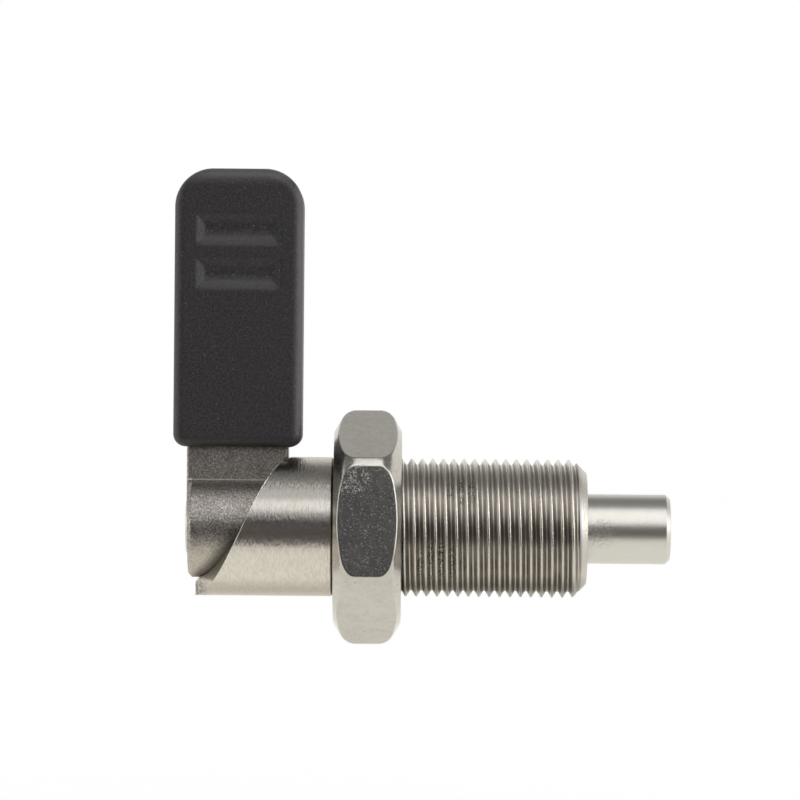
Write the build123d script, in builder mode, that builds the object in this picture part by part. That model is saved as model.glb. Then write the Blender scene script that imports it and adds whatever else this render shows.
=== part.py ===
from build123d import *
import os
from math import radians, tan

# Cam-action indexing plunger. A threaded guide body carries a spring-loaded pin. The pin's stem
# runs back through the body and is riveted into a lever, whose wedge-shaped nose sits in the V
# of a helical cam cut into the body's head. Turning the lever climbs the cam and draws the pin in.
#
# Frame: +X runs along the axis towards the nose of the pin, +Z up along the lever. The origin is
# on the axis, in the clamping face of the lock nut. Millimetres.

# ---- driving dimensions: guide body ------------------------------------------------------------
body_length = 56.0
thread_diameter = 19.85  # over the crests of the M20 x 1.5 thread
thread_reach = 26.5  # from the lock nut's face to the end of the body
thread_depth = 0.9  # from crest to root
thread_end_chamfer = 1.9
undercut_width = 2.4
undercut_relief = 0.1  # below the root of the thread
head_diameter = 20.0
head_edge_chamfer = 0.25
cam_setback = 5.65  # from the head's shoulder to the root of the V
cam_cutter_overrun = 1.0  # beyond the head's diameter
cam_rise = 14.5  # axial climb of the cam over half a turn
cam_mouth_chamfer = 0.6
hub_bore_overrun = 0.45  # the hub's bore is this much deeper than the V
web_thickness = 3.5  # between the hub's bore and the spring

# ---- driving dimensions: lock nut --------------------------------------------------------------
nut_across_flats = 29.7
nut_thickness = 9.7
nut_outer_diameter = 33.6  # over the corners, which are turned down
nut_corner_rounding = 1.3
nut_chamfer_width = 3.05  # radial, of the ring that is turned off each end of the corners
nut_chamfer_angle = 30.0
nut_chamfer_rounding = 2.5
nut_turn = 5.0  # degrees that the front flat leans back from upright
nut_countersink = 0.55

# ---- driving dimensions: pin and spring --------------------------------------------------------
pin_diameter = 10.0
pin_protrusion = 12.0
pin_guided_length = 26.0  # of the full diameter, nose included
pin_nose_chamfer = 0.6
stem_diameter = 6.0
rivet_diameter = 8.0
rivet_thickness = 1.25
rivet_stand_out = 0.4
rivet_edge_rounding = 0.25
spring_wire = 1.1
spring_active_turns = 5  # between the two closed end coils

# ---- driving dimensions: lever and grip --------------------------------------------------------
hub_diameter = 14.8
hub_stand_out = 1.0  # beyond the tip of the cam
hub_rim_chamfer = 0.5
blade_width = 14.5
blade_overhang = 0.3  # beyond the face of the hub
blade_thickness = 6.0
blade_top = 49.3
blade_corner_rounding = 3.0
blade_edge_rounding = 0.4
nose_relief_diameter = 20.6  # inside it the blade's edge is cut to the form of the cam
nose_flank_turn = 60.0  # degrees of cam form that the nose is cut with
grip_side_wall = 1.95
grip_face_wall = 2.0
grip_end_wall = 1.9
grip_mouth = 11.4  # height of the sleeve's lower edge
grip_top_rounding = 5.5
grip_edge_rounding = 1.4
grip_mouth_rounding = 1.8
groove_length = 12.2
groove_width = 4.4
groove_depth = 0.8
groove_end_run = 1.35
groove_pitch = 6.3
groove_below_top = 8.7  # centre of the upper groove

# ---- clearances --------------------------------------------------------------------------------
thread_play = 0.05  # radial, between the engaged threads of body and nut
nut_seat_gap = 0.1
pin_play = 0.03
stem_play = 0.05
hub_play = 0.08
hub_end_gap = 0.3
cam_play = 0.12  # axial, between the blade's nose and the cam
rivet_play = 0.1
rivet_seat_gap = 0.05
spring_play = 0.25
spring_coil_gap = 0.15  # between neighbouring wires at a closed end
spring_seat_gap = 0.05
grip_play = 0.05

# ---- stations along the axis -------------------------------------------------------------------
body_end = thread_reach
cam_tip = body_end - body_length
head_shoulder = -nut_thickness - nut_seat_gap
cam_root = head_shoulder - cam_setback
hub_bore_floor = cam_root + hub_bore_overrun
spring_seat = hub_bore_floor + web_thickness
pin_end = body_end + pin_protrusion
pin_shoulder = pin_end - pin_guided_length
hub_face = cam_tip - hub_stand_out
hub_end = hub_bore_floor - hub_end_gap
rivet_face = hub_face - rivet_stand_out
rivet_back = rivet_face + rivet_thickness
blade_middle = hub_face - blade_overhang + blade_width / 2

# ---- radii -------------------------------------------------------------------------------------
thread_radius = thread_diameter / 2
engaged_radius = thread_radius - thread_depth / 2  # where the threads of body and nut meet
undercut_radius = thread_radius - thread_depth - undercut_relief
head_radius = head_diameter / 2
pin_bore_radius = pin_diameter / 2 + pin_play
stem_bore_radius = stem_diameter / 2 + stem_play
hub_bore_radius = hub_diameter / 2 + hub_play
rivet_recess_radius = rivet_diameter / 2 + rivet_play
nose_relief_radius = nose_relief_diameter / 2


def cam_flank(root, inner_radius, outer_radius, turn):
    """One flank of the V: radial lines that climb away from the root as they turn."""
    climb = cam_rise * turn / 180
    inner_edge = Helix(2 * cam_rise, climb, inner_radius)
    outer_edge = Helix(2 * cam_rise, climb, outer_radius)
    upright = Plane(origin=(root, 0, 0), x_dir=(0, 0, 1), z_dir=(-1, 0, 0))
    return upright * Face.make_surface_from_curves(inner_edge, outer_edge)


# ---- guide body: turned and bored, then the cam is cut into its head ---------------------------
with BuildPart() as cam_cut:
    extrude(
        cam_flank(cam_root, stem_bore_radius, head_radius + cam_cutter_overrun, 180),
        amount=body_length,
        dir=(-1, 0, 0),
    )
    mirror(about=Plane.XZ)

with BuildPart() as guide_body:
    undercut_end = head_shoulder + undercut_width
    with BuildSketch(Plane.XZ):
        with BuildLine():
            Polyline(
                (cam_tip, hub_bore_radius + cam_mouth_chamfer),
                (cam_tip, head_radius),
                (head_shoulder - head_edge_chamfer, head_radius),
                (head_shoulder, head_radius - head_edge_chamfer),
                (head_shoulder, undercut_radius),
                (undercut_end, undercut_radius),
                (undercut_end + engaged_radius - undercut_radius, engaged_radius),
                (0, engaged_radius),
                (0, thread_radius),
                (body_end - thread_end_chamfer, thread_radius),
                (body_end, thread_radius - thread_end_chamfer),
                (body_end, pin_bore_radius),
                (spring_seat, pin_bore_radius),
                (spring_seat, stem_bore_radius),
                (hub_bore_floor, stem_bore_radius),
                (hub_bore_floor, hub_bore_radius),
                (cam_tip + cam_mouth_chamfer, hub_bore_radius),
                close=True,
            )
        make_face()
    revolve(axis=Axis.X)
    add(cam_cut.part, mode=Mode.SUBTRACT)

# ---- lock nut: hexagon with both corner rings turned off ---------------------------------------
with BuildPart() as lock_nut:
    outer_radius = nut_outer_diameter / 2
    face_radius = outer_radius - nut_chamfer_width
    chamfer_depth = nut_chamfer_width * tan(radians(nut_chamfer_angle))
    with BuildSketch(Plane.YZ.offset(-nut_thickness)):
        RegularPolygon(
            nut_across_flats / 2,
            side_count=6,
            major_radius=False,
            rotation=30 - nut_turn,
        )
        fillet(vertices(), nut_corner_rounding)
        Circle(engaged_radius + thread_play, mode=Mode.SUBTRACT)
    extrude(amount=nut_thickness)
    bore_edges = edges().filter_by(GeomType.CIRCLE).sort_by(SortBy.RADIUS)[-2:]
    chamfer(bore_edges, nut_countersink)
    with BuildSketch(Plane.XZ):
        with BuildLine():
            Polyline(
                (-nut_thickness, 0),
                (-nut_thickness, face_radius),
                (chamfer_depth - nut_thickness, outer_radius),
                (-chamfer_depth, outer_radius),
                (0, face_radius),
                (0, 0),
                close=True,
            )
        make_face()
        fillet(vertices().group_by(Axis.Y)[-1], nut_chamfer_rounding)
    revolve(axis=Axis.X, mode=Mode.INTERSECT)

# ---- plunger pin: nose, shoulder, stem and riveted end in one piece ----------------------------
with BuildPart() as plunger_pin:
    with BuildSketch(Plane.XZ):
        with BuildLine():
            Polyline(
                (rivet_face, 0),
                (rivet_face, rivet_diameter / 2 - rivet_edge_rounding),
                (rivet_face + rivet_edge_rounding, rivet_diameter / 2),
                (rivet_back, rivet_diameter / 2),
                (rivet_back, stem_diameter / 2),
                (pin_shoulder, stem_diameter / 2),
                (pin_shoulder, pin_diameter / 2),
                (pin_end - pin_nose_chamfer, pin_diameter / 2),
                (pin_end, pin_diameter / 2 - pin_nose_chamfer),
                (pin_end, 0),
                close=True,
            )
        make_face()
    revolve(axis=Axis.X)

# ---- compression spring: round wire, end coils closed and ground flat --------------------------
with BuildPart() as compression_spring:
    spring_radius = pin_bore_radius - spring_play - spring_wire / 2
    spring_length = pin_shoulder - spring_seat - spring_seat_gap
    end_pitch = spring_wire + spring_coil_gap
    active_height = spring_length - 2 * end_pitch
    with BuildLine(Plane.YZ.offset(spring_seat)) as coil:
        Helix(end_pitch, end_pitch, spring_radius, direction=(1, 0, 0))
        Helix(
            active_height / spring_active_turns,
            active_height,
            spring_radius,
            center=(0, 0, end_pitch),
            direction=(1, 0, 0),
        )
        Helix(
            end_pitch,
            end_pitch,
            spring_radius,
            center=(0, 0, end_pitch + active_height),
            direction=(1, 0, 0),
        )
    for turn in coil.edges():
        with BuildSketch(Plane(origin=turn @ 0, z_dir=turn % 0)) as wire_section:
            Circle(spring_wire / 2)
        sweep(sections=wire_section.sketch, path=turn, is_frenet=True)
    with Locations(*[turn @ 0 for turn in coil.edges()[1:]]):
        Sphere(spring_wire / 2)
    with BuildSketch(Plane.YZ.offset(spring_seat)):
        Circle(spring_radius + spring_wire)
    extrude(amount=spring_length, mode=Mode.INTERSECT)

# ---- lever: blade and hub cast in one ----------------------------------------------------------
with BuildPart() as nose_cut:
    extrude(
        cam_flank(cam_root - cam_play, stem_bore_radius, nose_relief_radius, nose_flank_turn),
        amount=blade_width,
        dir=(1, 0, 0),
    )
    mirror(about=Plane.XZ)

with BuildPart() as lever:
    with BuildSketch(Plane.XZ):
        with Locations((blade_middle, blade_top / 2)):
            Rectangle(blade_width, blade_top)
        fillet(vertices().group_by(Axis.Y)[-1], blade_corner_rounding)
    extrude(amount=blade_thickness / 2, both=True)
    fillet(edges().filter_by(Axis.Z), blade_edge_rounding)
    add(nose_cut.part, mode=Mode.SUBTRACT)
    with BuildSketch(Plane.XZ):
        with BuildLine():
            Polyline(
                (hub_face, 0),
                (hub_face, hub_diameter / 2 - hub_rim_chamfer),
                (hub_face + hub_rim_chamfer, hub_diameter / 2),
                (hub_end, hub_diameter / 2),
                (hub_end, 0),
                close=True,
            )
        make_face()
    revolve(axis=Axis.X)
    with Locations(Plane(origin=(hub_face, 0, 0), z_dir=(-1, 0, 0))):
        CounterBoreHole(
            stem_bore_radius,
            rivet_recess_radius,
            rivet_back + rivet_seat_gap - hub_face,
        )

# ---- grip sleeve: plastic cap pushed over the blade, two thumb grooves in each face ------------
grip_face = blade_thickness / 2 + grip_face_wall
grip_top = blade_top + grip_end_wall
scoop_radius = (groove_width**2 / 4 + groove_depth**2) / (2 * groove_depth)

with BuildPart() as groove_cut:
    with BuildSketch(Plane.YZ):
        with Locations((groove_depth - grip_face - scoop_radius, 0)):
            Circle(scoop_radius)
    extrude(amount=groove_length / 2, both=True)
    with BuildSketch():
        with BuildLine():
            Polyline(
                (-groove_length / 2, -grip_face),
                (groove_length / 2, -grip_face),
                (groove_length / 2 - groove_end_run, groove_depth - grip_face),
                (groove_end_run - groove_length / 2, groove_depth - grip_face),
                close=True,
            )
        make_face()
    extrude(amount=groove_width, both=True, mode=Mode.INTERSECT)
    mirror(about=Plane.XZ)

with BuildPart() as grip_sleeve:
    grip_height = grip_top - grip_mouth
    pocket_height = blade_top + grip_play - grip_mouth
    with BuildSketch(Plane.XZ):
        with Locations((blade_middle, grip_mouth + grip_height / 2)):
            Rectangle(blade_width + 2 * grip_side_wall, grip_height)
        fillet(vertices().group_by(Axis.Y)[-1], grip_top_rounding)
        fillet(vertices().group_by(Axis.Y)[0], grip_mouth_rounding)
    extrude(amount=grip_face, both=True)
    outlines = faces().filter_by(Axis.Y).edges()
    fillet(outlines, grip_edge_rounding)
    upper_groove = grip_top - groove_below_top
    lower_groove = upper_groove - groove_pitch
    with Locations((blade_middle, 0, upper_groove), (blade_middle, 0, lower_groove)):
        add(groove_cut.part, mode=Mode.SUBTRACT)
    with BuildSketch(Plane.XZ):
        with Locations((blade_middle, grip_mouth + pocket_height / 2)):
            Rectangle(blade_width + 2 * grip_play, pocket_height)
        fillet(vertices().group_by(Axis.Y)[-1], blade_corner_rounding + grip_play)
    extrude(amount=blade_thickness / 2 + grip_play, both=True, mode=Mode.SUBTRACT)

# ---- one file for each piece -------------------------------------------------------------------
guide_body.part.label = "guide_body"
lock_nut.part.label = "lock_nut"
plunger_pin.part.label = "plunger_pin"
compression_spring.part.label = "compression_spring"
lever.part.label = "lever"
grip_sleeve.part.label = "grip_sleeve"

os.makedirs("parts", exist_ok=True)
export_step(guide_body.part, "parts/guide_body.step")
export_step(lock_nut.part, "parts/lock_nut.step")
export_step(plunger_pin.part, "parts/plunger_pin.step")
export_step(compression_spring.part, "parts/compression_spring.step")
export_step(lever.part, "parts/lever.step")
export_step(grip_sleeve.part, "parts/grip_sleeve.step")
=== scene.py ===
from math import ceil, cos, pi, radians, sin, sqrt, tan

import bmesh
import bpy
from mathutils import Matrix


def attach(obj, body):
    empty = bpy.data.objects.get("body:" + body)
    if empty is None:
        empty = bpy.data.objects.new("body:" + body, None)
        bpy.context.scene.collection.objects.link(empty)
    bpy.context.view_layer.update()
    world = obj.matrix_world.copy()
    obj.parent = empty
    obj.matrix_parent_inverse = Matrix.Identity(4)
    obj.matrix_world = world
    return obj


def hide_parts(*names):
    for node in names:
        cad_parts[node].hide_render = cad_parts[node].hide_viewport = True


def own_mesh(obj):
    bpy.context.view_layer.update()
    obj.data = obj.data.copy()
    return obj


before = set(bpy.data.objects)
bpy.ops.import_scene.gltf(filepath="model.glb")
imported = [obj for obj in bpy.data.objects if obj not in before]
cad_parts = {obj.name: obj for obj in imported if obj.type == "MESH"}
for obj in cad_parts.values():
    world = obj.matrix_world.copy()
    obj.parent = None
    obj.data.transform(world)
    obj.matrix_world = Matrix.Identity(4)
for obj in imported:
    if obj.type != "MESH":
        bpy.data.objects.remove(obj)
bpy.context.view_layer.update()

# Looks of a cam-action indexing plunger: the true thread of its guide body, the spring that
# shortens inside it, the finish of every piece, and the studio round them. Lengths are in metres,
# in the frame of the solids, and the finishes count in millimetres.

MM = 0.001
TO_MM = 1 / MM

# ---- thread -------------------------------------------------------------------------------------
PITCH = 1.5 * MM
CREST_RADIUS = 9.925 * MM
CREST_FLAT = 0.21 * MM
CREST_ROUNDING = 0.12 * MM
ROOT_RADIUS = 9.03 * MM
ROOT_ROUNDING = 0.3 * MM
FLANK_RISE = sqrt(3)  # outwards for each step along the axis, on a 60 degree thread
CREST_AT_TOP = 1.46 * MM  # station of a crest on the upper side of the body
LEAD_TURNS = 2  # wound ahead of that crest, and folded away where the thread starts
THREAD_START = 0.0
THREAD_END = 26.5 * MM
END_CHAMFER = 1.9 * MM
ENGAGED_RADIUS = 9.475 * MM  # of the plain wall under the lock nut
ENGAGED_START = -6.85 * MM  # where the relief behind the thread ends
TURN_STEPS = 144
PROFILE_STEPS = 26
START_SLACK = 0.5 * MM / PROFILE_STEPS  # a third of a step of the profile
THREAD_WELD = 0.004 * MM

# ---- joining the thread to the body -------------------------------------------------------------
CAD_WELD = 0.001 * MM
STATION_SLACK = 0.01 * MM
RADIUS_SLACK = 0.05 * MM

# ---- cam ----------------------------------------------------------------------------------------
CAM_ROOT = -15.45 * MM
CAM_RISE = 14.5 * MM  # over half a turn


class Wire:
    """A socket in a node tree, for use in ordinary expressions."""

    def __init__(self, graph, socket):
        self.graph = graph
        self.socket = socket

    def __add__(self, other):
        return self.graph.math("ADD", self, other)

    def __radd__(self, other):
        return self.graph.math("ADD", other, self)

    def __sub__(self, other):
        return self.graph.math("SUBTRACT", self, other)

    def __rsub__(self, other):
        return self.graph.math("SUBTRACT", other, self)

    def __mul__(self, other):
        return self.graph.math("MULTIPLY", self, other)

    def __rmul__(self, other):
        return self.graph.math("MULTIPLY", other, self)

    def __truediv__(self, other):
        return self.graph.math("DIVIDE", self, other)

    def __neg__(self):
        return self.graph.math("SUBTRACT", 0, self)

    def __abs__(self):
        return self.graph.math("ABSOLUTE", self)


class Graph:
    """Builds one node tree."""

    def __init__(self, tree):
        self.tree = tree
        tree.nodes.clear()

    def node(self, kind, settings=None, values=None, out=0):
        """A node with its settings, then its sockets' values or links, as the wire of an output."""
        made = self.tree.nodes.new(kind)
        for name, setting in (settings or {}).items():
            setattr(made, name, setting)
        for key, value in (values or {}).items():
            socket = made.inputs[key]
            if isinstance(value, Wire):
                self.tree.links.new(value.socket, socket)
            elif socket.type == "RGBA" and len(value) == 3:
                socket.default_value = (*value, 1)
            else:
                socket.default_value = value
        return Wire(self, made.outputs[out]) if made.outputs else None

    def math(self, operation, *values):
        return self.node("ShaderNodeMath", {"operation": operation}, dict(enumerate(values)))

    def larger(self, first, second):
        return self.math("MAXIMUM", first, second)

    def smaller(self, first, second):
        return self.math("MINIMUM", first, second)

    def above(self, value, low, high):
        """0 below low, 1 above high, and a soft step between them."""
        ends = {"Value": value, "From Min": low, "From Max": high}
        return self.node("ShaderNodeMapRange", {"interpolation_type": "SMOOTHSTEP"}, ends)

    def below(self, value, low, high):
        """1 below low, 0 above high, and a soft step between them."""
        return 1 - self.above(value, low, high)

    def band(self, value, middle, inner, outer):
        """1 within inner of the middle, fading to 0 at outer."""
        return self.below(abs(value - middle), inner, outer)

    def mix(self, factor, first, second):
        """A blend of two colours."""
        settings = {"data_type": "RGBA", "clamp_factor": True}
        return self.node("ShaderNodeMix", settings, {0: factor, 6: first, 7: second}, out=2)

    def noise(self, where, scale, detail=2, roughness=0.5, distortion=0.0):
        sizes = {"Scale": scale, "Detail": detail, "Roughness": roughness}
        values = {"Vector": where, **sizes, "Distortion": distortion}
        return self.node("ShaderNodeTexNoise", {}, values)

    def stretched(self, where, x, y, z):
        """The same place with each direction scaled by its own amount."""
        settings = {"operation": "MULTIPLY"}
        return self.node("ShaderNodeVectorMath", settings, {0: where, 1: (x, y, z)})

    def near(self, where, spot, reach):
        """1 within half the reach of a spot, fading to 0 at its full reach."""
        settings = {"operation": "DISTANCE"}
        distance = self.node("ShaderNodeVectorMath", settings, {0: where, 1: spot}, out="Value")
        return self.below(distance, reach / 2, reach)

    def axes(self, where):
        split = self.node("ShaderNodeSeparateXYZ", {}, {0: where})
        return [Wire(self, output) for output in split.socket.node.outputs]


def shade(red, green, blue):
    """A colour given as it looks on a screen, 0 to 255."""
    return tuple(((c / 255 + 0.055) / 1.055) ** 2.4 for c in (red, green, blue))


def new_material(name):
    material = bpy.data.materials.new(name)
    material.use_nodes = True
    return material


# ---- finishes -----------------------------------------------------------------------------------
# The places named beside each finish are in millimetres. A pair holds the two ends of a soft step,
# and a spot is a point with its reach.
GLINT = shade(240, 238, 232)


class Finish(Graph):
    """A material: places on the piece in millimetres, and one surface shader."""

    def __init__(self, name):
        self.material = new_material(name)
        super().__init__(self.material.node_tree)
        metres = self.node("ShaderNodeTexCoord", out="Object")
        settings = {"operation": "SCALE"}
        self.place = self.node("ShaderNodeVectorMath", settings, {0: metres, "Scale": TO_MM})

    def edge_normal(self, radius):
        """The normal with every edge broken by a small radius, in millimetres."""
        return self.node("ShaderNodeBevel", {"samples": 8}, {"Radius": radius * MM})

    def relief(self, height, depth, normal=None):
        """Turns a height from 0 to 1 into a bump that is depth millimetres deep."""
        values = {"Height": height, "Strength": 1.0, "Distance": depth * MM}
        if normal is not None:
            values["Normal"] = normal
        return self.node("ShaderNodeBump", {}, values)

    def surface(self, color, roughness, normal, metallic=1.0):
        values = {"Base Color": color, "Metallic": metallic, "Roughness": roughness}
        shader = self.node("ShaderNodeBsdfPrincipled", {}, {**values, "Normal": normal})
        self.node("ShaderNodeOutputMaterial", {}, {"Surface": shader})
        return self.material


def beside_cam(finish):
    """How far round from the top a place lies, as a share of half a turn, and how many millimetres
    it lies off the cam's edge along the axis, above 0 on the lever's side."""
    x, y, z = finish.axes(finish.place)
    turned = abs(finish.math("ARCTAN2", y, z)) / pi
    return turned, (CAM_ROOT - CAM_RISE * turned) * TO_MM - x


# stations along the guide body's axis
HEAD_END = (-0.2, 0.0)
GROOVES_END = (25.4, 25.8)
# where the painted light on the thread's upper side ends
THREAD_LIGHT_END = (24.4, 25.0)
CAM_TIP_END = (-29.0, -27.2)
# radii round it
GROOVE_RADII = (9.3, 9.8)
SKIN_RADII = (9.8, 9.9)
# heights over it
# painted shade over the head's highlight band, weaker in a strip at its middle
HEAD_SHADE_BAND = (3.3, 2.3, 3.4)  # its middle, with half its full and half its whole width
SHADE_GAP_MIDDLE, SHADE_GAP_FADE = 3.2, (0.2, 1.4)
# painted light on the head's lower side, and painted shade on its lowest rim
HEAD_LIGHT_BELOW, RIM_SHADE_BELOW = (-3.0, -2.0), (-9.2, -6.8)
# painted light on the thread's upper side
THREAD_LIGHT_ABOVE = (2.0, 6.0)
# the groove stain is lighter above as painted light and darker below as painted shade
STAIN_LIGHT_ABOVE, STAIN_SHADE_BELOW = (0.5, 5.5), (-5.5, -2.0)
# painted shade on the lowest part of the thread
THREAD_SHADE_BELOW = (-8.8, -6.0)
CAM_TIP_BELOW = (-8.4, -6.6)
# the two oily spots in its thread, and the burr along its cam, which carries a painted highlight
OIL_LOW, OIL_HIGH = ((5.2, -8.0, -5.2), 4.6), ((8.6, -7.6, 5.6), 3.0)
BURR_HIGHLIGHT_WIDTH = 0.13
BURR_HIGHLIGHT_TURN = (0.58, 0.7)  # shares of half a turn, between which the burr ends


def turned_steel():
    """Head, thread and end chamfer of the guide body."""
    finish = Finish("turned_steel")
    place = finish.place
    x, y, z = finish.axes(place)
    radius = finish.math("SQRT", y * y + z * z)
    on_thread = finish.above(x, *HEAD_END)
    on_head = 1 - on_thread
    groove = on_thread * finish.below(radius, *GROOVE_RADII) * finish.below(x, *GROOVES_END)
    turn = finish.math("ARCTAN2", -y, z) / (2 * pi)
    winding = (x * (MM / PITCH) - turn - CREST_AT_TOP / PITCH) * (2 * pi)
    # the root and crest lines, kept bare of stain as painted highlight lines
    painted_highlight_lines = finish.above(abs(finish.math("COSINE", winding)), 0.72, 0.95)
    right_flank = finish.above(finish.math("SINE", winding), -0.6, 0.6)
    cam_tip = finish.below(x, *CAM_TIP_END) * finish.below(z, *CAM_TIP_BELOW)

    streaks = finish.noise(finish.stretched(place, 3.0, 0.35, 0.35), 1.0, detail=4, roughness=0.6)
    clouds = finish.noise(finish.stretched(place, 0.3, 0.2, 0.2), 1.0, detail=4, roughness=0.6)
    strokes = finish.noise(finish.stretched(place, 4.0, 1.1, 1.1), 1.0)
    pits = finish.noise(place, 2.6)
    grime = finish.noise(finish.stretched(place, 0.5, 0.3, 0.3), 1.0, detail=4, roughness=0.65)
    drops = finish.noise(place, 3.6)
    # beads: drops in the bump, and painted glints in the colour
    beads_and_glints = finish.above(finish.noise(place, 3.4, detail=1), 0.62, 0.66)
    oily = finish.near(place, *OIL_LOW) + finish.near(place, *OIL_HIGH)

    # bare metal: on the head a band of painted shade over its highlight, weaker in a strip at its
    # middle, painted light on its lower side and painted shade on its lowest rim, and painted light
    # on the thread's upper side
    outside_shade_gap = finish.above(abs(z - SHADE_GAP_MIDDLE), *SHADE_GAP_FADE)
    painted_head_shade = finish.band(z, *HEAD_SHADE_BAND) * (0.2 + 0.8 * outside_shade_gap)
    color = finish.mix(clouds, shade(205, 202, 197), shade(188, 183, 175))
    color = finish.mix(painted_head_shade * on_head * 0.85, color, shade(140, 138, 134))
    # painted light on the head's lower side
    pale = on_head * finish.below(z, *HEAD_LIGHT_BELOW)
    color = finish.mix(pale * 0.6, color, shade(218, 213, 202))
    # painted shade on the head's lowest rim
    painted_rim_shade = on_head * finish.below(z, *RIM_SHADE_BELOW)
    color = finish.mix(painted_rim_shade * 0.8, color, shade(170, 162, 148))
    # painted light on the thread's upper side
    bright = on_thread * finish.below(x, *THREAD_LIGHT_END)
    bright = bright * finish.above(z, *THREAD_LIGHT_ABOVE)
    color = finish.mix(bright * 0.6, color, shade(238, 236, 230))

    # stains in the grooves, bluish on the left flank and brown on the right one, lighter high up as
    # painted light and darker low down as painted shade, and kept off the root and crest lines,
    # which stay bare as painted highlight lines
    middle_stain = finish.mix(right_flank, shade(138, 140, 146), shade(148, 136, 120))
    lit_stain = finish.mix(right_flank, shade(172, 172, 176), shade(180, 169, 154))
    shaded_stain = finish.mix(right_flank, shade(118, 118, 118), shade(132, 118, 100))
    stain = finish.mix(finish.above(z, *STAIN_LIGHT_ABOVE), middle_stain, lit_stain)
    stain = finish.mix(finish.below(z, *STAIN_SHADE_BELOW), stain, shaded_stain)
    spread = 0.5 + 0.5 * finish.above(grime, 0.3, 0.6)
    color = finish.mix(groove * (1 - 0.8 * painted_highlight_lines) * spread, color, stain)
    # painted shade on the lowest part of the thread
    dark = on_thread * finish.below(z, *THREAD_SHADE_BELOW)
    color = finish.mix(dark * 0.8, color, shade(94, 88, 77))

    # oil caked in the grooves with beads in it that carry painted glints, pits, strokes, and a burr
    # on the cam that carries a painted highlight
    caked = groove * oily * finish.above(drops, 0.51, 0.57)
    color = finish.mix(caked * 0.85, color, shade(50, 46, 42))
    color = finish.mix(groove * oily * beads_and_glints * 0.9, color, GLINT)
    color = finish.mix(finish.above(pits, 0.66, 0.74) * 0.2, color, shade(110, 104, 98))
    scored = finish.above(strokes, 0.4, 0.65) * on_head
    color = finish.mix(scored * 0.16, color, shade(128, 124, 112))
    turned, from_cam = beside_cam(finish)
    # the burr along the cam's edge: a small ridge in the bump and a painted highlight in the colour
    burr_and_highlight = finish.below(-from_cam, 0.0, BURR_HIGHLIGHT_WIDTH) * finish.above(radius, *SKIN_RADII)
    burr_and_highlight = burr_and_highlight * finish.above(drops, 0.36, 0.46) * finish.below(turned, *BURR_HIGHLIGHT_TURN)
    color = finish.mix(burr_and_highlight, color, GLINT)
    color = finish.mix(cam_tip * finish.above(drops, 0.42, 0.6), color, shade(92, 88, 84))

    roughness = 0.22 + 0.08 * clouds + 0.08 * groove
    nicks = drops * on_thread * (1 - groove) * 0.35
    turning = (0.3 * streaks + 0.45 * strokes) * on_head + 0.15 * streaks * on_thread
    wet = 0.9 * beads_and_glints * groove * oily
    height = turning + wet + 0.9 * drops * cam_tip + nicks + burr_and_highlight
    normal = finish.relief(height, 0.11, finish.edge_normal(0.16))
    return finish.surface(color, roughness, normal)


SCRATCHED_CORNER = ((-7.0, -14.8, 7.5), 2.9)


def milled_nut_steel():
    """Tumbled metal with fine specks, small dark pits and a scratched corner."""
    finish = Finish("milled_nut_steel")
    place = finish.place
    clouds = finish.noise(place, 0.22, detail=4)
    grain = finish.noise(place, 2.9, detail=3, roughness=0.75)
    specks = finish.above(finish.noise(place, 4.2, detail=1), 0.66, 0.72)
    pits = finish.above(finish.noise(place, 2.4), 0.68, 0.74)
    wander = finish.noise(place, 1.2, distortion=1.2)
    scratch = finish.band(wander, 0.46, 0.0, 0.01) * finish.near(place, *SCRATCHED_CORNER)
    smears = finish.noise(place, 0.9, detail=5, roughness=0.7)
    color = finish.mix(clouds, shade(197, 195, 190), shade(186, 183, 177))
    color = finish.mix(finish.above(smears, 0.4, 0.7) * 0.3, color, shade(170, 162, 150))
    color = finish.mix(pits * 0.6, color, shade(104, 99, 94))
    height = 0.65 * grain + 0.75 * specks - 0.7 * pits + 3.0 * scratch
    normal = finish.relief(height, 0.01, finish.edge_normal(0.35))
    return finish.surface(color, 0.12 + 0.08 * clouds, normal)


DENTED_SPOT = ((28.4, -5.0, -0.5), 2.8)


def ground_steel():
    """The pin: ground round, lightly polished, and dented a little beside the body."""
    finish = Finish("ground_steel")
    place = finish.place
    rings = finish.noise(finish.stretched(place, 3.4, 0.25, 0.25), 1.0, detail=3, roughness=0.6)
    marks = finish.noise(finish.stretched(place, 1.6, 1.0, 1.0), 1.0, detail=4, roughness=0.7)
    clouds = finish.noise(place, 0.3, detail=3)
    dents = finish.above(finish.noise(place, 2.4), 0.5, 0.56) * finish.near(place, *DENTED_SPOT)
    color = finish.mix(clouds, shade(209, 208, 204), shade(203, 200, 194))
    color = finish.mix(finish.above(marks, 0.66, 0.76) * 0.4, color, shade(130, 126, 118))
    color = finish.mix(dents * 0.2, color, shade(120, 116, 110))
    height = rings * 0.6 + marks * 0.4 - 0.35 * dents
    normal = finish.relief(height, 0.03, finish.edge_normal(0.2))
    return finish.surface(color, 0.28 + 0.1 * marks, normal)


BLADE_FOOT = 6.7  # height at which the blade leaves the hub
FOOT_HIGHLIGHT_WIDTH = 0.13
BLADE_SKIN = (2.8, 2.95)  # off the blade's middle, just under its flat face
SHINY_BAND = (2.8, 1.4, 3.0)  # height on the hub, with half its full and half its whole width
CAM_SHADE_WIDTH = 2.8
CAM_SHADE_TURN, LIT_UNDERSIDE_TURN = (0.36, 0.66), (0.55, 0.72)  # shares of half a turn


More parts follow.
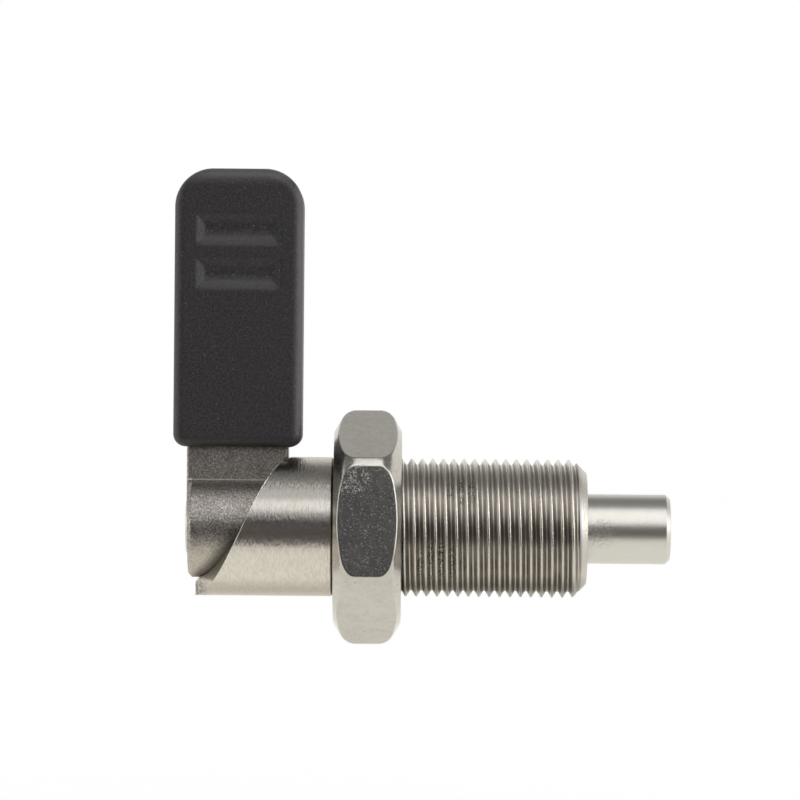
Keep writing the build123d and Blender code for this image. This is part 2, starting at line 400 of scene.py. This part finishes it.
def cast_steel():
    """The lever: precision cast, blasted matt with a fine grain, with painted shade along the cam,
    painted light on the hub's underside and a painted highlight where the blade leaves the hub.
    """
    finish = Finish("cast_steel")
    place = finish.place
    _, y, z = finish.axes(place)
    turned, from_cam = beside_cam(finish)
    # painted shade on the hub along the cam's edge
    painted_cam_shade = finish.below(from_cam, 0.0, CAM_SHADE_WIDTH) * finish.above(turned, *CAM_SHADE_TURN)
    # painted light on the hub's underside
    painted_light_underneath = finish.above(turned, *LIT_UNDERSIDE_TURN)
    on_blade = finish.above(z, BLADE_FOOT - 0.5, BLADE_FOOT - 0.1)
    # a thin ridge where the blade leaves the hub, with a painted highlight along it
    foot_ridge_and_highlight = finish.band(z, BLADE_FOOT, 0.0, FOOT_HIGHLIGHT_WIDTH) * finish.above(abs(y), *BLADE_SKIN)

    grain = finish.noise(place, 3.2, detail=4, roughness=0.8)
    fleck = finish.above(finish.noise(place, 4.4, detail=3, roughness=0.8), 0.38, 0.58)
    clouds = finish.noise(place, 0.3, detail=3)
    tint = finish.noise(place, 0.5)
    glints = finish.above(finish.noise(place, 3.9, detail=1), 0.6, 0.67)
    glints = glints * finish.band(z, *SHINY_BAND)
    color = finish.mix(clouds, shade(196, 193, 188), shade(172, 168, 162))
    color = finish.mix(finish.above(tint, 0.5, 0.7) * 0.5, color, shade(160, 148, 150))
    color = finish.mix(fleck * (0.8 - 0.15 * painted_light_underneath), color, shade(98, 92, 89))
    # painted light on the hub's underside
    color = finish.mix(painted_light_underneath * 0.35, color, shade(212, 205, 188))
    color = finish.mix(painted_cam_shade * 0.85, color, shade(62, 56, 48))
    # painted highlight along the blade's foot
    color = finish.mix(foot_ridge_and_highlight, color, shade(236, 232, 224))
    color = finish.mix(glints * 0.4, color, shade(240, 236, 226))
    height = grain * (0.75 + 0.25 * on_blade) + 0.4 * glints + 1.4 * foot_ridge_and_highlight
    normal = finish.relief(height, 0.05, finish.edge_normal(0.15))
    return finish.surface(color, 0.32 + 0.02 * on_blade + 0.14 * clouds, normal)


def spring_wire():
    """Drawn wire with a faint grain."""
    finish = Finish("spring_wire")
    drawn = finish.noise(finish.place, 4.0)
    color = finish.mix(drawn, shade(200, 197, 190), shade(186, 182, 174))
    return finish.surface(color, 0.22 + 0.1 * drawn, finish.relief(drawn, 0.005))


GRIP_LEFT, GRIP_RIGHT = -32.75, -14.35
GRIP_MIDDLE = (GRIP_LEFT + GRIP_RIGHT) / 2
GRIP_MOUTH, GRIP_TOP = 11.4, 51.2
THUMB_GROOVE_SIDE = (5.0, 5.8)  # off the grip's middle
THUMB_GROOVE_FEET = (40.3, 34.0)  # heights of the lower edges
SLOPE_MIDDLE, SLOPE_FADE = 0.55, (0.2, 1.1)  # of the slope over such an edge


def grip_plastic():
    """Black moulded plastic with a fine grain and a little dust, with painted light at its edges
    and on its groove slopes, and painted shade above its mouth.
    """
    finish = Finish("grip_plastic")
    place = finish.place
    x, _, z = finish.axes(place)
    grain = finish.noise(place, 3.0, detail=3, roughness=0.8)
    clouds = finish.noise(place, 0.12, detail=3)
    dust = finish.noise(place, 3.4, detail=1)
    color = finish.mix(clouds, shade(52, 49, 54), shade(58, 56, 59))
    color = finish.mix(finish.above(grain, 0.38, 0.58), color, shade(30, 28, 31))
    color = finish.mix(finish.above(dust, 0.74, 0.78), color, shade(130, 128, 122))

    # painted light on the top and side edges, and on the slopes over the grooves' lower edges
    top_edge = finish.above(z, GRIP_TOP - 2.6, GRIP_TOP - 0.6)
    right_edge = 0.6 * finish.above(x, GRIP_RIGHT - 1.65, GRIP_RIGHT - 0.45)
    left_edge = 0.4 * finish.below(x, GRIP_LEFT + 0.35, GRIP_LEFT + 1.35)
    painted_edge_light = finish.larger(finish.larger(top_edge, right_edge), left_edge)
    across_groove = finish.band(x, GRIP_MIDDLE, *THUMB_GROOVE_SIDE)
    for groove_foot in THUMB_GROOVE_FEET:
        slope = finish.band(z, groove_foot + SLOPE_MIDDLE, *SLOPE_FADE)
        painted_edge_light = finish.larger(painted_edge_light, (0.2 + 0.3 * grain) * slope * across_groove)
    color = finish.mix(painted_edge_light * 0.7, color, shade(94, 92, 93))
    # painted shade on the front just above the mouth
    painted_mouth_shade = finish.below(z, GRIP_MOUTH + 0.2, GRIP_MOUTH + 1.6)
    color = finish.mix(painted_mouth_shade * 0.6, color, shade(34, 31, 31))
    normal = finish.relief(grain, 0.08, finish.edge_normal(0.6))
    return finish.surface(color, 0.4 + 0.1 * clouds, normal, metallic=0.0)


# ---- the thread: a strip one pitch wide, wound along the body -----------------------------------
def thread_tree(turns, finish):
    """Winds a strip one pitch wide along a helix and gives it the form of the thread."""
    tree = bpy.data.node_groups.new("thread", "GeometryNodeTree")
    sizes = {
        "Pitch": PITCH,
        "Crest Radius": CREST_RADIUS,
        "Root Radius": ROOT_RADIUS,
        "Crest Flat": CREST_FLAT,
        "First Crest": CREST_AT_TOP - LEAD_TURNS * PITCH,
        "Start": THREAD_START,
        "End": THREAD_END,
        "Engaged Radius": ENGAGED_RADIUS,
        "End Chamfer": END_CHAMFER,
        "Turns": float(turns),
    }
    tree.interface.new_socket("Geometry", in_out="OUTPUT", socket_type="NodeSocketGeometry")
    for name, value in sizes.items():
        socket = tree.interface.new_socket(name, in_out="INPUT", socket_type="NodeSocketFloat")
        socket.default_value = value
    graph = Graph(tree)
    group_input = tree.nodes.new("NodeGroupInput")
    size = {name: Wire(graph, group_input.outputs[name]) for name in sizes}

    counts = {"Vertices X": turns * TURN_STEPS + 1, "Vertices Y": PROFILE_STEPS + 1}
    strip = graph.node("GeometryNodeMeshGrid", {}, {"Size X": 1.0, "Size Y": 1.0, **counts})
    along, across, _ = graph.axes(graph.node("GeometryNodeInputPosition"))
    turn = (along + 0.5) * size["Turns"]
    share = across + 0.5
    station = size["First Crest"] + size["Pitch"] * (turn + share)
    from_crest = size["Pitch"] * graph.smaller(share, 1 - share)

    # flanks between a rounded crest and a rounded root, cut by the chamfer at the body's end
    flank = size["Crest Radius"] + FLANK_RISE * (size["Crest Flat"] / 2 - from_crest)
    crested = graph.math("SMOOTH_MIN", flank, size["Crest Radius"], CREST_ROUNDING)
    form = graph.math("SMOOTH_MAX", crested, size["Root Radius"], ROOT_ROUNDING)
    end_radius = size["Crest Radius"] - size["End Chamfer"]
    cut = graph.smaller(form, end_radius + graph.larger(size["End"] - station, 0.0))

    # what lies ahead of the start becomes the step down to the engaged radius
    ahead = graph.math("LESS_THAN", station, size["Start"] + START_SLACK)
    radius = cut * (1 - ahead) + size["Engaged Radius"] * ahead
    inside = graph.smaller(graph.larger(station, size["Start"]), size["End"])
    level = inside * (1 - ahead) + size["Start"] * ahead

    angle = turn * (2 * pi)
    sideways = -(radius * graph.math("SINE", angle))
    upwards = radius * graph.math("COSINE", angle)
    spot = graph.node("ShaderNodeCombineXYZ", {}, {0: level, 1: sideways, 2: upwards})
    wound = graph.node("GeometryNodeSetPosition", {}, {"Geometry": strip, "Position": spot})
    weld = {"Geometry": wound, "Distance": THREAD_WELD}
    welded = graph.node("GeometryNodeMergeByDistance", {}, weld)
    real = graph.node("GeometryNodeRealizeInstances", {}, {"Geometry": welded})
    finished = graph.node("GeometryNodeSetMaterial", {}, {"Geometry": real, "Material": finish})
    group_output = tree.nodes.new("NodeGroupOutput")
    tree.links.new(finished.socket, group_output.inputs[0])
    return tree


def baked(tree, name):
    """The plain mesh that a geometry tree gives."""
    carrier = bpy.data.objects.new(name, bpy.data.meshes.new(name))
    bpy.context.scene.collection.objects.link(carrier)
    modifier = carrier.modifiers.new(name, "NODES")
    modifier.node_group = tree
    for item in tree.interface.items_tree:
        if item.in_out == "INPUT":
            modifier[item.identifier] = item.default_value
    evaluated = carrier.evaluated_get(bpy.context.evaluated_depsgraph_get())
    mesh = bpy.data.meshes.new_from_object(evaluated)
    carrier.modifiers.remove(modifier)
    bpy.data.objects.remove(carrier)
    return mesh


# ---- pieces -------------------------------------------------------------------------------------
def shape_of(node):
    """A merged copy of a CAD node's mesh, to work on."""
    shape = bmesh.new()
    shape.from_mesh(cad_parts[node].data)
    bmesh.ops.remove_doubles(shape, verts=shape.verts, dist=CAD_WELD)
    return shape


def made_piece(name, shape, finish, sharp_angle):
    """A finished shape as a piece on the body, shaded smooth between its edges."""
    for face in shape.faces:
        face.smooth = True
    mesh = bpy.data.meshes.new(name)
    shape.to_mesh(mesh)
    shape.free()
    old_normals = mesh.attributes.get("custom_normal")
    if old_normals:
        mesh.attributes.remove(old_normals)
    mesh.set_sharp_from_angle(angle=radians(sharp_angle))
    mesh.materials.clear()
    mesh.materials.append(finish)
    piece = bpy.data.objects.new(name, mesh)
    bpy.context.scene.collection.objects.link(piece)
    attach(piece, "body")
    return piece


def threaded_guide_body(finish):
    """The guide body with its true thread in place of the plain cylinder over the crests."""
    turns = ceil((THREAD_END - CREST_AT_TOP) / PITCH) + LEAD_TURNS
    thread = baked(thread_tree(turns, finish), "thread")
    body = shape_of("guide_body")

    def on_shank(vertex):
        far_out = vertex.co.yz.length > CREST_RADIUS - END_CHAMFER - RADIUS_SLACK
        return vertex.co.x > ENGAGED_START - STATION_SLACK and far_out

    def on_end(vertex):
        return vertex.co.x > THREAD_END - STATION_SLACK

    plain = [f for f in body.faces if all(map(on_shank, f.verts)) or all(map(on_end, f.verts))]
    bmesh.ops.delete(body, geom=plain, context="FACES")
    body.from_mesh(thread)
    open_edges = [e for e in body.edges if e.is_boundary]
    middle = THREAD_END / 2
    near = [e for e in open_edges if e.verts[0].co.x < middle]
    far = [e for e in open_edges if e.verts[0].co.x > middle]
    bmesh.ops.bridge_loops(body, edges=near)
    bmesh.ops.bridge_loops(body, edges=far)
    bmesh.ops.recalc_face_normals(body, faces=body.faces)
    piece = made_piece("guide_body_threaded", body, finish, sharp_angle=32)
    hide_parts("guide_body")


def coil_spring(finish):
    """The spring, which shortens against the body's web as the pin is drawn back."""
    piece = made_piece("coil_spring", shape_of("compression_spring"), finish, sharp_angle=40)
    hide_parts("compression_spring")
    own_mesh(piece)


def dress(node, finish):
    """Gives its finish to a piece that keeps its CAD shape."""
    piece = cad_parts[node]
    piece.data.materials.clear()
    piece.data.materials.append(finish)


# ---- studio -------------------------------------------------------------------------------------
AXIS_TO_FLOOR = 55 * MM
FLOOR_EDGE = 29.0  # degrees below the horizon at which the floor ends in front
FLOOR_HALF_WIDTH, FLOOR_BACK = 2.0, 3.0
PAPER, PAPER_IN_VIEW = (0.85, 0.83, 0.76), (0.8, 0.8, 0.8)
GLOW, GLOW_IN_VIEW = (1.0, 1.0, 1.0), (0.95, 0.96, 1.0)
GLOW_STRENGTH = 0.42

ROOM_LOW, ROOM_HIGH = (0.105, 0.085, 0.08), (0.078, 0.08, 0.088)
CEILING_IN_FRONT, CEILING_BEHIND = (0.25, 0.248, 0.24), (0.95, 0.94, 0.9)
SHEET = (1.0, 0.985, 0.95)
WHITE = (1.0, 1.0, 1.0)
# where they meet, as the upward, backward or sideward part of a direction of length 1
ROOM_UP, CEILING_UP, SHEET_UNDER = (-0.05, 0.16), (0.36, 0.6), (-0.54, -0.48)
CEILING_BACK, SHEET_BACK, SHEET_ASIDE = (0.44, 0.84), (-0.35, 0.0), (0.7, 0.92)

SOFTBOX_RISE, SOFTBOX_SWING = radians(44), radians(8)
SOFTBOX_AIM = (
    cos(SOFTBOX_RISE) * sin(SOFTBOX_SWING),
    -cos(SOFTBOX_RISE) * cos(SOFTBOX_SWING),
    sin(SOFTBOX_RISE),
)
# direction, degrees off it at which the lamp ends and at which it is full, and its light
LAMPS = (
    (SOFTBOX_AIM, 33, 25, (1.62, 1.61, 1.58)),
    ((0.91, -0.34, 0.24), 28, 16, (3.6, 3.56, 3.45)),
    ((-0.98, -0.15, 0.1), 22, 12, (1.8, 1.78, 1.72)),
)

CAMERA_PLACE = (-0.36 * MM, -600 * MM, 18.3 * MM)
CAMERA_ROLL = radians(-0.5)
SENSOR_WIDTH, FOCAL_LENGTH = 36, 187.7


def studio_floor():
    """A pale floor that ends in front, so that the dark of the room shows in the steel, and that
    is clear from below, so that it doesn't hide the plunger."""
    front = -AXIS_TO_FLOOR / tan(radians(FLOOR_EDGE))
    left, right = -FLOOR_HALF_WIDTH, FLOOR_HALF_WIDTH
    corners = [(left, front), (right, front), (right, FLOOR_BACK), (left, FLOOR_BACK)]
    mesh = bpy.data.meshes.new("floor")
    mesh.from_pydata([(x, y, -AXIS_TO_FLOOR) for x, y in corners], [], [(0, 1, 2, 3)])
    material = new_material("pale_floor")
    graph = Graph(material.node_tree)
    seen = graph.node("ShaderNodeLightPath", out="Is Camera Ray")
    mirrored = graph.node("ShaderNodeLightPath", out="Is Glossy Ray")
    from_below = graph.node("ShaderNodeNewGeometry", out="Backfacing")
    tint = graph.mix(seen, PAPER, PAPER_IN_VIEW)
    tone = graph.mix(seen, GLOW, GLOW_IN_VIEW)
    strength = GLOW_STRENGTH * (seen + mirrored)
    paper = graph.node("ShaderNodeBsdfDiffuse", {}, {"Color": tint})
    glow = graph.node("ShaderNodeEmission", {}, {"Color": tone, "Strength": strength})
    both = graph.node("ShaderNodeAddShader", {}, {0: paper, 1: glow})
    clear = graph.node("ShaderNodeBsdfTransparent")
    sheet = graph.node("ShaderNodeMixShader", {}, {0: seen * from_below, 1: both, 2: clear})
    graph.node("ShaderNodeOutputMaterial", {}, {"Surface": sheet})
    mesh.materials.append(material)
    floor = bpy.data.objects.new("floor", mesh)
    bpy.context.scene.collection.objects.link(floor)


def studio_world():
    """A dim room in front, white sheets beside, behind and below, a ceiling that is brighter at the
    back, and three soft lamps. The camera itself sees plain white."""
    world = bpy.data.worlds.new("studio")
    bpy.context.scene.world = world
    world.use_nodes = True
    graph = Graph(world.node_tree)
    heading = graph.node("ShaderNodeTexCoord", out="Generated")
    x, y, z = graph.axes(heading)
    room = graph.mix(graph.above(z, *ROOM_UP), ROOM_LOW, ROOM_HIGH)
    ceiling = graph.mix(graph.above(y, *CEILING_BACK), CEILING_IN_FRONT, CEILING_BEHIND)
    around = graph.larger(graph.above(abs(x), *SHEET_ASIDE), graph.above(y, *SHEET_BACK))
    color = graph.mix(around, room, SHEET)
    color = graph.mix(graph.above(z, *CEILING_UP), color, ceiling)
    color = graph.mix(graph.below(z, *SHEET_UNDER), color, SHEET)
    for aim, wide, narrow, light in LAMPS:
        settings = {"operation": "DOT_PRODUCT"}
        nearness = graph.node("ShaderNodeVectorMath", settings, {0: heading, 1: aim}, out="Value")
        lit = graph.above(nearness, cos(radians(wide)), cos(radians(narrow)))
        color = graph.mix(lit, color, light)
    seen = graph.node("ShaderNodeLightPath", out="Is Camera Ray")
    color = graph.mix(seen, color, WHITE)
    glow = graph.node("ShaderNodeBackground", {}, {"Color": color, "Strength": 1.0})
    graph.node("ShaderNodeOutputWorld", {}, {"Surface": glow})


def camera():
    """Faces the plunger's front from about the middle of its height, rolled by half a degree."""
    data = bpy.data.cameras.new("camera")
    data.sensor_width = SENSOR_WIDTH
    data.lens = FOCAL_LENGTH
    stand = bpy.data.objects.new("camera", data)
    stand.location = CAMERA_PLACE
    stand.rotation_euler = (radians(90), CAMERA_ROLL, 0)
    bpy.context.scene.collection.objects.link(stand)
    bpy.context.scene.camera = stand


bpy.context.scene.view_settings.view_transform = "Standard"
camera()
studio_world()
studio_floor()

threaded_guide_body(turned_steel())
dress("lock_nut", milled_nut_steel())
dress("plunger_pin", ground_steel())
coil_spring(spring_wire())
dress("lever", cast_steel())
dress("grip_sleeve", grip_plastic())
